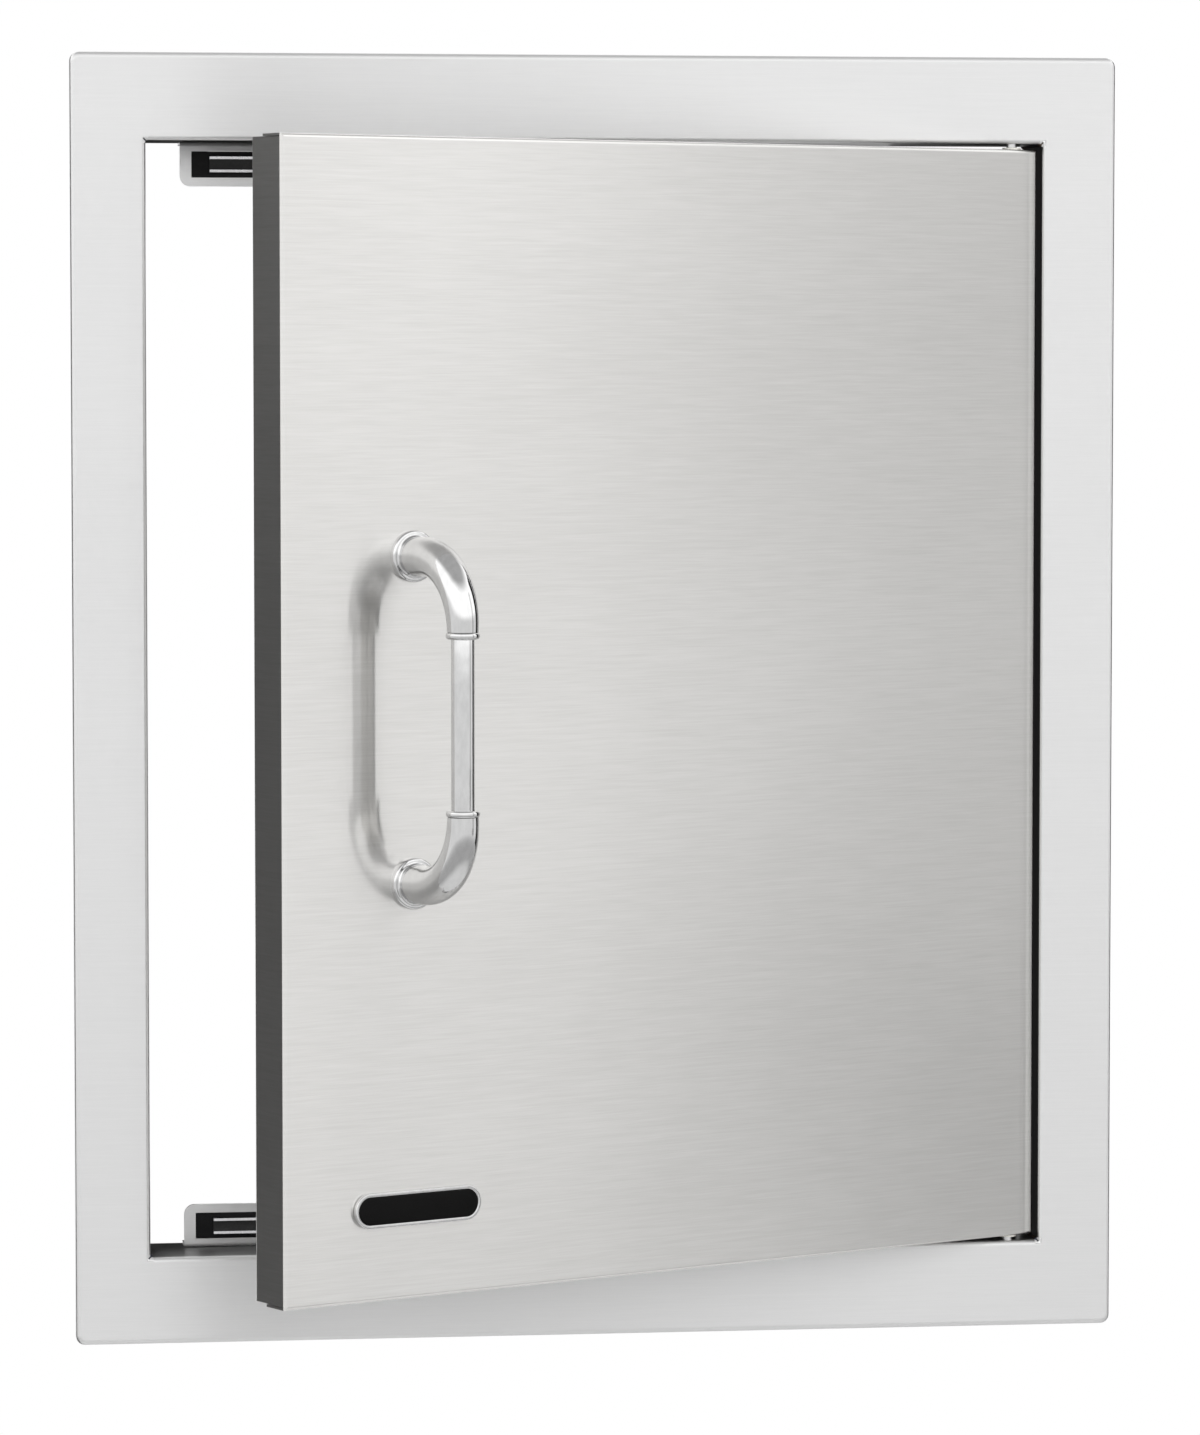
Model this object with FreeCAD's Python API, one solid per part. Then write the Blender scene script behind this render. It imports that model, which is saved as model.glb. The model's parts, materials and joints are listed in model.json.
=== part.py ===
"""Access door for an outdoor kitchen island: folded steel frame, pivoting double-pan door.

Millimetres. +X runs towards the hinge side, +Z is up and the door faces -Y. The origin is
the centre of the opening, in the plane where the flange's return rim seats on the island.
The door stands ajar. Its pieces are made shut and are swung about the pivots when written.
"""
import FreeCAD, Part
import math
import os

from FreeCAD import Placement, Rotation, Vector

# Frame, folded from one sheet
FRAME_WIDTH = 457.2
FRAME_HEIGHT = 558.8
SIDE_FLANGE = 32.4
END_FLANGE = 37.6
FRAME_SHEET = 1.2
RIM_DEPTH = 6.5
RIM_BEND = 2.4
RIM_CORNER_RADIUS = 4.0
RIM_INNER_CORNER = 1.6
JAMB_DEPTH = 44.0
JAMB_BEND = 1.8
RELIEF_WIDTH = 2.6
JAMB_CORNER_SLIT = 0.6

# Screw holes in the side jambs, for fixing the frame into the island
FIXING_HOLE_DIAMETER = 5.0
FIXING_HOLE_SETBACK = 34.0
FIXING_HOLE_PITCH = 320.0

# Door: outer skin pan with a liner pan nested in it from behind
DOOR_GAP_SIDE = 2.8
DOOR_GAP_END = 2.5
DOOR_THICKNESS = 25.4
SKIN_SHEET = 1.0
SKIN_FLANGE = 14.5
SKIN_BEND = 1.5
SKIN_SEAM = 0.3
LINER_SHEET = 0.9
LINER_FLANGE = 15.4
LINER_BEND = 1.5
NEST_CLEARANCE = 0.05

# Pivots: a screw through the jamb, its tip in a bush in the door's end flange
PIVOT_INSET = 10.2
PIVOT_DEPTH = 5.5
PIVOT_DIAMETER = 4.5
PIVOT_TAIL = 6.0
PIVOT_SLOT_WIDTH = 0.8
PIVOT_SLOT_DEPTH = 1.5
JOURNAL_DIAMETER = 3.4
JOURNAL_LENGTH = 8.0
JOURNAL_CLEARANCE = 0.05
BUSH_WALL = 1.2
BUSH_COLLAR_DIAMETER = 8.0
BUSH_COLLAR_THICKNESS = 0.8
BUSH_LENGTH = 9.0
THRUST_CLEARANCE = 0.15
NUT_ACROSS_FLATS = 7.0
NUT_HEIGHT = 3.2
AJAR_ANGLE = 26.5

# Handle
HANDLE_INSET = 62.2
HANDLE_SPACING = 134.8
HANDLE_STANDOFF = 38.0
ELBOW_BASE_DIAMETER = 16.4
ELBOW_END_DIAMETER = 12.7
ELBOW_BEND_RADIUS = 28.0
ELBOW_NECK = 4.65
ELBOW_BANDS = 6
BASE_RING_DIAMETER = 21.3
BASE_RING_THICKNESS = 2.4
BASE_RING_BEVEL = 0.8
BASE_COVE = 0.9
COLLAR_DIAMETER = 14.0
COLLAR_WIDTH = 2.9
COLLAR_BEVEL = 0.9
BAR_DIAMETER = 9.6
BAR_SEAT = 8.0
HANDLE_SCREW_DIAMETER = 5.0
HANDLE_SCREW_GRIP = 9.0
HANDLE_SCREW_HEAD_DIAMETER = 12.0
HANDLE_SCREW_HEAD_HEIGHT = 3.2
ACCESS_HOLE_DIAMETER = 15.0

# Magnetic catches, one at the top and one at the bottom of the free side
CATCH_INSET = 16.5
BRACKET_HEIGHT = 19.1
BRACKET_SHEET = 1.2
BRACKET_BEND = 1.8
BRACKET_SETBACK = 29.4
BRACKET_FOOT = 14.6
BRACKET_CORNER_RADIUS = 4.6
WINDOW_MARGIN = 5.1
WINDOW_CLEARANCE = 0.1
HOUSING_LENGTH = 50.0
HOUSING_HEIGHT = 11.2
HOUSING_DEPTH = 14.0
HOUSING_STANDOFF = 4.0
HOUSING_BEVEL = 0.5
HOUSING_END = 7.7
HOUSING_FLOOR = 2.0
POLE_THICKNESS = 1.1
POLE_SPACING = 5.7
POLE_CLEARANCE = 0.05
MAGNET_RECESS = 1.6
CATCH_SCREW_DIAMETER = 3.0
CATCH_SCREW_HEAD_DIAMETER = 5.6
CATCH_SCREW_HEAD_HEIGHT = 1.8
CATCH_SCREW_TAIL = 1.5

# Strike plates on the door's back, facing the catches
STRIKE_HEIGHT = 10.0
STRIKE_THICKNESS = 1.2
STRIKE_CORNER = 1.5
CATCH_GAP = 0.3

# Fits and finishing that several pieces share
SCREW_CLEARANCE = 0.1
HEAD_CLEARANCE = 0.2
OVERCUT = 1.0

# Places that follow from the sizes above
FRONT_Y = -RIM_DEPTH
OPENING_X = FRAME_WIDTH / 2 - SIDE_FLANGE
OPENING_Z = FRAME_HEIGHT / 2 - END_FLANGE
JAMB_REAR_Y = FRONT_Y + JAMB_DEPTH
DOOR_X = OPENING_X - DOOR_GAP_SIDE
DOOR_Z = OPENING_Z - DOOR_GAP_END
DOOR_BACK_Y = FRONT_Y + DOOR_THICKNESS
PIVOT_X = DOOR_X - PIVOT_INSET
PIVOT_Y = FRONT_Y + PIVOT_DEPTH
HANDLE_X = HANDLE_INSET - DOOR_X
HANDLE_Z = HANDLE_SPACING / 2
ELBOW_STEM = HANDLE_STANDOFF - ELBOW_BEND_RADIUS
BUSH_DIAMETER = JOURNAL_DIAMETER + 2 * (JOURNAL_CLEARANCE + BUSH_WALL)
BRACKET_X = CATCH_INSET - OPENING_X
BRACKET_LENGTH = HOUSING_LENGTH + 2 * WINDOW_MARGIN
BRACKET_Y = FRONT_Y + BRACKET_SETBACK
HOUSING_X = BRACKET_X + WINDOW_MARGIN
HOUSING_TOP_Z = OPENING_Z - HOUSING_STANDOFF
CATCH_Z = HOUSING_TOP_Z - HOUSING_HEIGHT / 2
CATCH_SCREW_XS = (HOUSING_X + HOUSING_END / 2, HOUSING_X + HOUSING_LENGTH - HOUSING_END / 2)
CATCH_SCREW_Y = BRACKET_Y + HOUSING_DEPTH / 2 + BRACKET_SHEET / 2
POLE_X = HOUSING_X + HOUSING_END
POLE_LENGTH = HOUSING_LENGTH - 2 * HOUSING_END
STRIKE_BACK_Y = DOOR_BACK_Y + STRIKE_THICKNESS
POLE_TIP_Y = STRIKE_BACK_Y + CATCH_GAP
POLE_REAR_Y = BRACKET_Y + HOUSING_DEPTH - HOUSING_FLOOR

X_AXIS = Vector(1, 0, 0)
Y_AXIS = Vector(0, 1, 0)
Z_AXIS = Vector(0, 0, 1)


def block(low, high):
    """A box between two corners."""
    size = [high[i] - low[i] for i in range(3)]
    return Part.makeBox(size[0], size[1], size[2], Vector(*low))


def rod(diameter, start, end):
    """A round bar between two points."""
    run = Vector(*end) - Vector(*start)
    return Part.makeCylinder(diameter / 2, run.Length, Vector(*start), run)


def upside_down(shape):
    """The mirror image across the horizontal plane through the opening's centre."""
    return shape.mirror(Vector(0, 0, 0), Z_AXIS)


def both_ends(shape):
    """A piece at the top together with its twin at the bottom."""
    return [shape, upside_down(shape)]


def edges_at(shape, axis, value):
    """The edges that lie wholly in the plane where one coordinate has this value."""
    found = []
    for edge in shape.Edges:
        box = edge.BoundBox
        low, high = ((box.XMin, box.XMax), (box.YMin, box.YMax), (box.ZMin, box.ZMax))[axis]
        if abs(low - value) < 1e-4 and abs(high - value) < 1e-4:
            found.append(edge)
    return found


def edges_along(shape, direction):
    """The straight edges that run in one direction."""
    found = []
    for edge in shape.Edges:
        if edge.Curve.TypeId == "Part::GeomLine":
            run = edge.lastVertex().Point - edge.firstVertex().Point
            if run.cross(direction).Length < 1e-4:
                found.append(edge)
    return found


def pan(half_x, half_z, closed_y, open_y, sheet, bend, corner=0, inner_corner=0):
    """A folded pan, open towards open_y. Its corners are sharp, or round outside and cut inside."""
    inward = 1 if open_y > closed_y else -1
    outside = block_between(half_x, half_z, closed_y, open_y)
    if corner:
        outside = outside.makeFillet(corner, edges_along(outside, Y_AXIS))
    outside = outside.makeFillet(bend, edges_at(outside, 1, closed_y))
    floor_y = closed_y + inward * sheet
    inside = block_between(half_x - sheet, half_z - sheet, floor_y, open_y + inward * OVERCUT)
    if inner_corner:
        inside = inside.makeChamfer(inner_corner, edges_along(inside, Y_AXIS))
    if bend > sheet:
        inside = inside.makeFillet(bend - sheet, edges_at(inside, 1, floor_y))
    return outside.cut(inside)


def block_between(half_x, half_z, start_y, end_y):
    """A box centred on the Y axis between two values of Y, given in either order."""
    return block((-half_x, min(start_y, end_y), -half_z), (half_x, max(start_y, end_y), half_z))


def hexagon(across_flats, start_z, height, x, y):
    """A hexagonal prism with two flats square to Y."""
    radius = across_flats / math.sqrt(3)
    corners = []
    for i in range(7):
        turn = math.radians(60 * i)
        corners.append(Vector(x + radius * math.cos(turn), y + radius * math.sin(turn), start_z))
    return Part.Face(Part.makePolygon(corners)).extrude(Vector(0, 0, height))


def plain_screw(diameter, length, head_diameter, head_height, seat, direction):
    """A screw with a plain round head. seat is the point under the head."""
    seat, direction = Vector(*seat), Vector(*direction)
    head = rod(head_diameter, seat - direction * head_height, seat)
    return head.fuse(rod(diameter, seat, seat + direction * length)).removeSplitter()


def door_frame():
    """The flange with its return rim, and the jamb folded back round the opening."""
    half_x, half_z = FRAME_WIDTH / 2, FRAME_HEIGHT / 2
    flange = pan(half_x, half_z, FRONT_Y, 0, FRAME_SHEET, RIM_BEND, RIM_CORNER_RADIUS, RIM_INNER_CORNER)
    outer_x, outer_z = OPENING_X + FRAME_SHEET, OPENING_Z + FRAME_SHEET
    sleeve = block_between(outer_x, outer_z, FRONT_Y, JAMB_REAR_Y)
    hole = block_between(OPENING_X, OPENING_Z, FRONT_Y - OVERCUT, JAMB_REAR_Y + OVERCUT)
    frame = flange.fuse(sleeve).cut(hole).removeSplitter()
    frame = fold_jamb(frame)
    for cutter in jamb_corner_cuts() + fixing_holes():
        frame = frame.cut(cutter)
    for x in CATCH_SCREW_XS:
        frame = frame.cut(through_both_ends(CATCH_SCREW_DIAMETER + SCREW_CLEARANCE, x, CATCH_SCREW_Y))
    return frame.cut(through_both_ends(PIVOT_DIAMETER + SCREW_CLEARANCE, PIVOT_X, PIVOT_Y))


def fold_jamb(frame):
    """Round the fold between flange and jamb, outside at the front and inside at the back."""
    front = [e for e in edges_at(frame, 1, FRONT_Y) if is_round_opening(e, OPENING_X, OPENING_Z)]
    frame = frame.makeFillet(JAMB_BEND, front)
    behind_y = FRONT_Y + FRAME_SHEET
    outer_x, outer_z = OPENING_X + FRAME_SHEET, OPENING_Z + FRAME_SHEET
    behind = [e for e in edges_at(frame, 1, behind_y) if is_round_opening(e, outer_x, outer_z)]
    return frame.makeFillet(JAMB_BEND - FRAME_SHEET, behind)


def is_round_opening(edge, half_x, half_z):
    """Whether an edge lies on the rectangle of these half sizes."""
    middle = edge.CenterOfMass
    return abs(abs(middle.x) - half_x) < 1e-3 or abs(abs(middle.z) - half_z) < 1e-3


def jamb_corner_cuts():
    """At each corner of the opening, a square bend relief and a slit between the jamb's folds."""
    cutters = []
    for x_side in (-1, 1):
        for z_side in (-1, 1):
            x, z = x_side * OPENING_X, z_side * OPENING_Z
            relief_end = FRONT_Y + FRAME_SHEET + JAMB_BEND
            reach = RELIEF_WIDTH / 2
            low = (x - reach, FRONT_Y - OVERCUT, z - reach)
            cutters.append(block(low, (x + reach, relief_end, z + reach)))
            slit = block((-RELIEF_WIDTH, FRONT_Y + FRAME_SHEET, -JAMB_CORNER_SLIT / 2),
                         (RELIEF_WIDTH, JAMB_REAR_Y + OVERCUT, JAMB_CORNER_SLIT / 2))
            slit.rotate(Vector(0, 0, 0), Y_AXIS, -45 * x_side * z_side)
            slit.translate(Vector(x, 0, z))
            cutters.append(slit)
    return cutters


def fixing_holes():
    """The pair of screw holes in each side jamb."""
    cutters = []
    y = FRONT_Y + FIXING_HOLE_SETBACK
    for side in (-1, 1):
        for z in (-FIXING_HOLE_PITCH / 2, FIXING_HOLE_PITCH / 2):
            inner = (side * (OPENING_X - OVERCUT), y, z)
            outer = (side * (OPENING_X + FRAME_SHEET + OVERCUT), y, z)
            cutters.append(rod(FIXING_HOLE_DIAMETER, inner, outer))
    return cutters


def through_both_ends(diameter, x, y):
    """A pair of upright cutters through the top and the bottom jamb."""
    hole = rod(diameter, (x, y, OPENING_Z - OVERCUT), (x, y, OPENING_Z + FRAME_SHEET + OVERCUT))
    return Part.makeCompound(both_ends(hole))


def door_skin():
    """The door's outer pan, with holes for the handle's screws and the pivots' bushes."""
    skin = pan(DOOR_X, DOOR_Z, FRONT_Y, FRONT_Y + SKIN_FLANGE, SKIN_SHEET, SKIN_BEND)
    for z in (-HANDLE_Z, HANDLE_Z):
        reach = FRONT_Y + SKIN_SHEET + OVERCUT
        hole_diameter = HANDLE_SCREW_DIAMETER + 2 * SCREW_CLEARANCE
        skin = skin.cut(rod(hole_diameter, (HANDLE_X, FRONT_Y - OVERCUT, z), (HANDLE_X, reach, z)))
    seat = rod(BUSH_DIAMETER + NEST_CLEARANCE, (PIVOT_X, PIVOT_Y, DOOR_Z - SKIN_SHEET - OVERCUT),
               (PIVOT_X, PIVOT_Y, DOOR_Z + OVERCUT))
    for side in (-1, 1):
        skin = skin.cut(Part.makeCompound(both_ends(flange_seam(side))))
    return skin.cut(Part.makeCompound(both_ends(seat)))


def flange_seam(side):
    """The open seam at the top corner of the skin, where a side flange butts under the end flange."""
    outer_x, inner_x = side * (DOOR_X + OVERCUT), side * (DOOR_X - SKIN_SHEET - NEST_CLEARANCE)
    top_z = DOOR_Z - SKIN_SHEET
    return block((min(outer_x, inner_x), FRONT_Y + SKIN_BEND, top_z - SKIN_SEAM),
                 (max(outer_x, inner_x), FRONT_Y + SKIN_FLANGE + OVERCUT, top_z))


def door_liner():
    """The door's inner pan, with a hole to reach each handle screw."""
    inset = SKIN_SHEET + NEST_CLEARANCE
    front_y = DOOR_BACK_Y - LINER_FLANGE
    liner = pan(DOOR_X - inset, DOOR_Z - inset, DOOR_BACK_Y, front_y, LINER_SHEET, LINER_BEND)
    inside_y = DOOR_BACK_Y - LINER_SHEET - OVERCUT
    outside_y = DOOR_BACK_Y + OVERCUT
    for z in (-HANDLE_Z, HANDLE_Z):
        liner = liner.cut(rod(ACCESS_HOLE_DIAMETER, (HANDLE_X, inside_y, z), (HANDLE_X, outside_y, z)))
    return liner


def hinge_pin():
    """The top pivot screw: threaded body, slotted outer end and a slimmer journal as its tip."""
    shoulder_z = DOOR_Z + BUSH_COLLAR_THICKNESS + THRUST_CLEARANCE
    end_z = OPENING_Z + FRAME_SHEET + PIVOT_TAIL
    body = rod(PIVOT_DIAMETER, (PIVOT_X, PIVOT_Y, shoulder_z), (PIVOT_X, PIVOT_Y, end_z))
    tip_z = DOOR_Z - JOURNAL_LENGTH
    journal = rod(JOURNAL_DIAMETER, (PIVOT_X, PIVOT_Y, tip_z), (PIVOT_X, PIVOT_Y, shoulder_z))
    slot = block((PIVOT_X - PIVOT_DIAMETER, PIVOT_Y - PIVOT_SLOT_WIDTH / 2, end_z - PIVOT_SLOT_DEPTH),
                 (PIVOT_X + PIVOT_DIAMETER, PIVOT_Y + PIVOT_SLOT_WIDTH / 2, end_z + OVERCUT))
    return body.fuse(journal).cut(slot).removeSplitter()


def hinge_nut():
    """The top pivot's nut, seated on the jamb's outer face."""
    seat_z = OPENING_Z + FRAME_SHEET
    nut = hexagon(NUT_ACROSS_FLATS, seat_z, NUT_HEIGHT, PIVOT_X, PIVOT_Y)
    bore = rod(PIVOT_DIAMETER + SCREW_CLEARANCE, (PIVOT_X, PIVOT_Y, seat_z - OVERCUT),
               (PIVOT_X, PIVOT_Y, seat_z + NUT_HEIGHT + OVERCUT))
    return nut.cut(bore)


def hinge_bush():
    """The top pivot's bush: a sleeve in the skin's flange with a collar that takes the thrust."""
    collar_z = DOOR_Z + BUSH_COLLAR_THICKNESS
    collar = rod(BUSH_COLLAR_DIAMETER, (PIVOT_X, PIVOT_Y, DOOR_Z), (PIVOT_X, PIVOT_Y, collar_z))
    foot_z = DOOR_Z - BUSH_LENGTH
    sleeve = rod(BUSH_DIAMETER, (PIVOT_X, PIVOT_Y, foot_z), (PIVOT_X, PIVOT_Y, DOOR_Z))
    bore = rod(JOURNAL_DIAMETER + 2 * JOURNAL_CLEARANCE, (PIVOT_X, PIVOT_Y, foot_z - OVERCUT),
               (PIVOT_X, PIVOT_Y, collar_z + OVERCUT))
    return collar.fuse(sleeve).cut(bore).removeSplitter()


def elbow_diameter(travelled):
    """The elbow's diameter after this length of its centre line, from the bend's start to the neck's end."""
    whole = ELBOW_BEND_RADIUS * math.pi / 2 + ELBOW_NECK
    return ELBOW_BASE_DIAMETER + (ELBOW_END_DIAMETER - ELBOW_BASE_DIAMETER) * travelled / whole


def elbow_section(travelled, turn, out, up):
    """A round section of the upper elbow, square to its centre line, this far out from the door."""
    heading = Vector(0, -math.cos(turn), -math.sin(turn))
    circle = Part.Circle(Vector(HANDLE_X, FRONT_Y - out, up), heading, elbow_diameter(travelled) / 2)
    return Part.Wire(Part.Edge(circle))


def elbow_body():
    """The upper elbow's straight stem, then its quarter turn and neck, tapering section by section."""
    stem_start = BASE_RING_THICKNESS + BASE_COVE
    turn_z = HANDLE_Z - ELBOW_BEND_RADIUS
    sections = [elbow_section(0, 0, stem_start, HANDLE_Z)]
    for step in range(ELBOW_BANDS + 1):
        turn = step / ELBOW_BANDS * math.pi / 2
        out = ELBOW_STEM + ELBOW_BEND_RADIUS * math.sin(turn)
        up = turn_z + ELBOW_BEND_RADIUS * math.cos(turn)
        sections.append(elbow_section(ELBOW_BEND_RADIUS * turn, turn, out, up))
    neck = ELBOW_NECK - COLLAR_WIDTH
    travelled = ELBOW_BEND_RADIUS * math.pi / 2 + neck
    sections.append(elbow_section(travelled, math.pi / 2, HANDLE_STANDOFF, turn_z - neck))
    return Part.makeLoft(sections, True, True)


def turned(outline, base, direction):
    """A solid of revolution from (radius, distance) points, run from its base along a direction."""
    points = [Vector(radius, 0, distance) for radius, distance in outline]
    profile = Part.Face(Part.makePolygon([Vector(0, 0, outline[0][1])] + points +
                                         [Vector(0, 0, outline[-1][1]), Vector(0, 0, outline[0][1])]))
    solid = profile.revolve(Vector(0, 0, 0), Z_AXIS, 360)
    solid.Placement = Placement(Vector(*base), Rotation(Z_AXIS, direction))
    return solid


def base_ring():
    """The round foot of the upper elbow, with a sloped cove up to the stem."""
    radius, bevel = BASE_RING_DIAMETER / 2, BASE_RING_BEVEL
    stem_start = BASE_RING_THICKNESS + BASE_COVE
    stem_radius = ELBOW_BASE_DIAMETER / 2
    outline = [
        (radius, 0),
        (radius, BASE_RING_THICKNESS - bevel),
        (radius - bevel, BASE_RING_THICKNESS),
        (stem_radius + BASE_COVE, BASE_RING_THICKNESS),
        (stem_radius, stem_start),
    ]
    return turned(outline, (HANDLE_X, FRONT_Y, HANDLE_Z), -Y_AXIS)


def end_collar():
    """The bevelled bead at the lower end of the upper elbow's neck."""
    radius, bevel = COLLAR_DIAMETER / 2, COLLAR_BEVEL
    outline = [
        (radius - bevel, 0),
        (radius, bevel),
        (radius, COLLAR_WIDTH - bevel),
        (radius - bevel, COLLAR_WIDTH),
    ]
    bead_z = HANDLE_Z - ELBOW_BEND_RADIUS - ELBOW_NECK + COLLAR_WIDTH
    return turned(outline, (HANDLE_X, FRONT_Y - HANDLE_STANDOFF, bead_z), -Z_AXIS)


def handle_elbow():
    """The upper elbow: foot, tapering bend and neck in one piece, socketed for the bar."""
    elbow = elbow_body().fuse([base_ring(), end_collar()])
    bar_y = FRONT_Y - HANDLE_STANDOFF
    neck_end_z = HANDLE_Z - ELBOW_BEND_RADIUS - ELBOW_NECK
    socket = rod(BAR_DIAMETER + 2 * NEST_CLEARANCE, (HANDLE_X, bar_y, neck_end_z - OVERCUT),
                 (HANDLE_X, bar_y, neck_end_z + BAR_SEAT))
    screw_end_y = FRONT_Y - HANDLE_SCREW_GRIP - OVERCUT
    hole = rod(HANDLE_SCREW_DIAMETER + SCREW_CLEARANCE, (HANDLE_X, FRONT_Y + OVERCUT, HANDLE_Z),
               (HANDLE_X, screw_end_y, HANDLE_Z))
    return elbow.cut(socket).cut(hole)


def handle_bar():
    """The straight bar, seated in both elbows."""
    bar_y = FRONT_Y - HANDLE_STANDOFF
    half = HANDLE_Z - ELBOW_BEND_RADIUS - ELBOW_NECK + BAR_SEAT - NEST_CLEARANCE
    return rod(BAR_DIAMETER, (HANDLE_X, bar_y, -half), (HANDLE_X, bar_y, half))


def handle_screw():
    """The upper handle screw, driven from inside the door through the skin, with a broad head."""
    seat_y = FRONT_Y + SKIN_SHEET
    return plain_screw(HANDLE_SCREW_DIAMETER, SKIN_SHEET + HANDLE_SCREW_GRIP, HANDLE_SCREW_HEAD_DIAMETER,
                       HANDLE_SCREW_HEAD_HEIGHT, (HANDLE_X, seat_y, HANDLE_Z), (0, -1, 0))


def catch_bracket():
    """The top catch's angle: a front plate with a window, and a foot against the jamb."""
    end_x = BRACKET_X + BRACKET_LENGTH
    free_z = OPENING_Z - BRACKET_HEIGHT
    rear_y = BRACKET_Y + BRACKET_FOOT
    outside = block((BRACKET_X, BRACKET_Y, free_z), (end_x, rear_y, OPENING_Z))
    free_corners = [e for e in edges_along(outside, Y_AXIS) if abs(e.CenterOfMass.z - free_z) < 1e-3]
    outside = outside.makeFillet(BRACKET_CORNER_RADIUS, free_corners)
    outside = outside.makeFillet(BRACKET_BEND, heel_edge(outside, rear_y, free_z))
    inside = block((BRACKET_X - OVERCUT, BRACKET_Y + BRACKET_SHEET, free_z - OVERCUT),
                   (end_x + OVERCUT, rear_y + OVERCUT, OPENING_Z - BRACKET_SHEET))
    inside = inside.makeFillet(BRACKET_BEND - BRACKET_SHEET, heel_edge(inside, rear_y, free_z))
    angle = outside.cut(inside)
    gap = WINDOW_CLEARANCE
    behind_y = BRACKET_Y + BRACKET_SHEET + OVERCUT
    window = block((HOUSING_X - gap, BRACKET_Y - OVERCUT, HOUSING_TOP_Z - HOUSING_HEIGHT - gap),
                   (HOUSING_X + HOUSING_LENGTH + gap, behind_y, HOUSING_TOP_Z + gap))
    angle = angle.cut(window)
    for x in CATCH_SCREW_XS:
        low, high = OPENING_Z - BRACKET_SHEET - OVERCUT, OPENING_Z + OVERCUT
        hole = rod(CATCH_SCREW_DIAMETER + SCREW_CLEARANCE, (x, CATCH_SCREW_Y, low), (x, CATCH_SCREW_Y, high))
        angle = angle.cut(hole)
    return angle


def heel_edge(solid, rear_y, free_z):
    """The lengthwise edge where an angle's two legs meet, away from both free ends."""
    return [edge for edge in edges_along(solid, X_AXIS)
            if edge.CenterOfMass.y < rear_y and edge.CenterOfMass.z > free_z][:1]


def catch_housing():
    """The top catch's moulding: a block with a pocket for the magnet pack and two screw bosses."""
    end_x = HOUSING_X + HOUSING_LENGTH
    low_z = HOUSING_TOP_Z - HOUSING_HEIGHT
    housing = block((HOUSING_X, BRACKET_Y, low_z), (end_x, BRACKET_Y + HOUSING_DEPTH, HOUSING_TOP_Z))
    housing = housing.makeChamfer(HOUSING_BEVEL, edges_along(housing, Y_AXIS))
    boss_half = HOUSING_END / 2 - HOUSING_BEVEL
    seat_z = OPENING_Z - BRACKET_SHEET
    for x in CATCH_SCREW_XS:
        boss = block((x - boss_half, CATCH_SCREW_Y - boss_half, CATCH_Z),
                     (x + boss_half, CATCH_SCREW_Y + boss_half, seat_z))
        housing = housing.fuse(boss)
    pocket_half = (POLE_SPACING + POLE_THICKNESS) / 2 + POLE_CLEARANCE
    pocket = block((POLE_X - POLE_CLEARANCE, BRACKET_Y - OVERCUT, CATCH_Z - pocket_half),
                   (POLE_X + POLE_LENGTH + POLE_CLEARANCE, POLE_REAR_Y, CATCH_Z + pocket_half))
    housing = housing.cut(pocket)
    head_seat_z = low_z + CATCH_SCREW_HEAD_HEIGHT + HEAD_CLEARANCE
    for x in CATCH_SCREW_XS:
        shank = rod(CATCH_SCREW_DIAMETER + SCREW_CLEARANCE, (x, CATCH_SCREW_Y, low_z - OVERCUT),
                    (x, CATCH_SCREW_Y, seat_z + OVERCUT))
        sink = rod(CATCH_SCREW_HEAD_DIAMETER + 2 * HEAD_CLEARANCE, (x, CATCH_SCREW_Y, low_z - OVERCUT),
                   (x, CATCH_SCREW_Y, head_seat_z))
        housing = housing.cut(shank).cut(sink)
    return housing.removeSplitter()


def catch_poles():
    """The top catch's two steel plates, which stand proud of the window towards the door."""
    plates = []
    for side in (-1, 1):
        z = CATCH_Z + side * POLE_SPACING / 2
        plates.append(block((POLE_X, POLE_TIP_Y, z - POLE_THICKNESS / 2),
                            (POLE_X + POLE_LENGTH, POLE_REAR_Y, z + POLE_THICKNESS / 2)))
    return plates


def catch_magnet():
    """The top catch's magnet bar, clamped between the poles and set back from their tips."""
    half = (POLE_SPACING - POLE_THICKNESS) / 2
    return block((POLE_X, POLE_TIP_Y + MAGNET_RECESS, CATCH_Z - half),
                 (POLE_X + POLE_LENGTH, POLE_REAR_Y, CATCH_Z + half))


def catch_screws():
    """The top catch's screws, up through the housing, the bracket's foot and the jamb."""
    seat_z = HOUSING_TOP_Z - HOUSING_HEIGHT + CATCH_SCREW_HEAD_HEIGHT + HEAD_CLEARANCE
    length = OPENING_Z + FRAME_SHEET + CATCH_SCREW_TAIL - seat_z
    screws = []
    for x in CATCH_SCREW_XS:
        screws.append(plain_screw(CATCH_SCREW_DIAMETER, length, CATCH_SCREW_HEAD_DIAMETER,
                                  CATCH_SCREW_HEAD_HEIGHT, (x, CATCH_SCREW_Y, seat_z), (0, 0, 1)))
    return screws


def strike_plate():
    """The top strike plate, spot-welded to the liner opposite the catch."""
    half = STRIKE_HEIGHT / 2
    plate = block((HOUSING_X, DOOR_BACK_Y, CATCH_Z - half),
                  (HOUSING_X + HOUSING_LENGTH, STRIKE_BACK_Y, CATCH_Z + half))
    return plate.makeChamfer(STRIKE_CORNER, edges_along(plate, Y_AXIS))


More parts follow.
